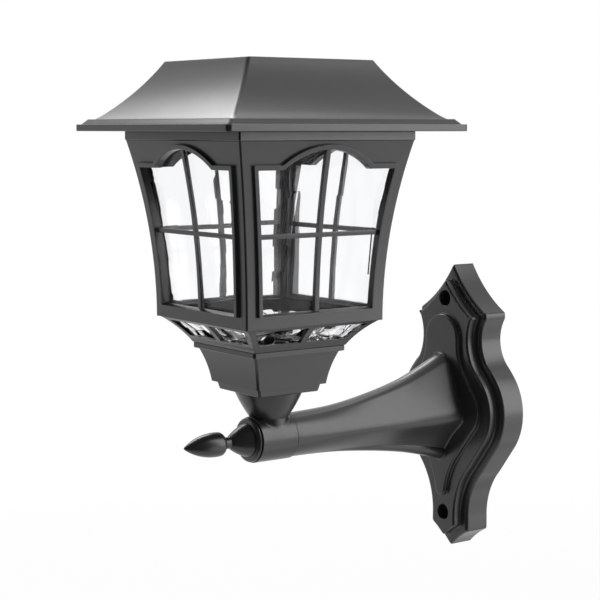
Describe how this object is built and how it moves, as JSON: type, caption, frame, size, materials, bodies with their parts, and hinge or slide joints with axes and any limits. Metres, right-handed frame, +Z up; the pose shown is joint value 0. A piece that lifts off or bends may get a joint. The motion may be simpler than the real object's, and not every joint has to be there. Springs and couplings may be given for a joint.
{
  "type": "solar wall light",
  "caption": "Black plastic carriage-style solar wall lantern on a bracket arm: lift-off hipped solar head, arched glazed windows, turned finial and shaped wall plate.",
  "frame": {"origin": "on the wall, midway between the two wall screws, in the plane of the wall plate's back", "axes": "+Y into the wall, +Z up, +X to the right as seen by someone facing the wall; the lantern stands out towards -Y"},
  "size_m": [0.162, 0.2392, 0.3036],
  "materials": {
    "black_plastic": "satin moulded",
    "clear_plastic": "clear, rippled",
    "solar_cell": "dark blue silicon",
    "panel_cover": "clear",
    "board_green": "solder mask",
    "screw_steel": "zinc plated",
    "contact_metal": "nickel plated",
    "cell_wrap": "shrink wrap",
    "rubber_seal": "matte",
    "led_clear": "clear resin",
    "chip_black": "moulded",
    "lead_red": "wire sleeve",
    "switch_black": "moulded",
    "knob_white": "moulded"
  },
  "bodies": {
    "fixture": {"arm": "black_plastic", "arm_screws": "screw_steel", "base_cup": "black_plastic", "finial": "black_plastic", "finial_ring": "black_plastic", "finial_stud": "screw_steel", "front_frame": "black_plastic", "front_pane": "clear_plastic", "left_frame": "black_plastic", "left_pane": "clear_plastic", "neck": "black_plastic", "neck_bolt": "screw_steel", "neck_nut": "screw_steel", "neck_washer": "screw_steel", "rear_frame": "black_plastic", "rear_pane": "clear_plastic", "right_frame": "black_plastic", "right_pane": "clear_plastic", "ring_screws": "screw_steel", "skirt_frame": "black_plastic", "skirt_lens": "clear_plastic", "sleeve": "black_plastic", "stud_nut": "screw_steel", "top_ring": "black_plastic", "wall_plate": "black_plastic"},
    "solar_head": {"roof_shell": "black_plastic", "panel_seal": "rubber_seal", "panel_board": "board_green", "solar_cells": "solar_cell", "panel_cover": "panel_cover", "tray": "black_plastic", "tray_screws": "screw_steel", "battery_cell": "cell_wrap", "battery_contacts": "contact_metal", "circuit_board": "board_green", "board_screws": "screw_steel", "board_parts": "chip_black", "leds": "led_clear", "led_lens": "clear_plastic", "switch_body": "switch_black", "panel_leads": "lead_red", "battery_leads": "lead_red"},
    "battery_cover": {"battery_cover": "black_plastic"},
    "power_switch": {"switch_slider": "knob_white"}
  },
  "joints": [
    {"name": "head_lift", "type": "slide", "parent": "fixture", "child": "solar_head", "axis": [0, 0, 1], "range_m": [0, 0.08]},
    {"name": "battery_cover_off", "type": "slide", "parent": "solar_head", "child": "battery_cover", "axis": [0, 0, -1], "range_m": [0, 0.02]},
    {"name": "switch_slide", "type": "slide", "parent": "solar_head", "child": "power_switch", "axis": [1, 0, 0], "range_m": [0, 0.003]}
  ]
}
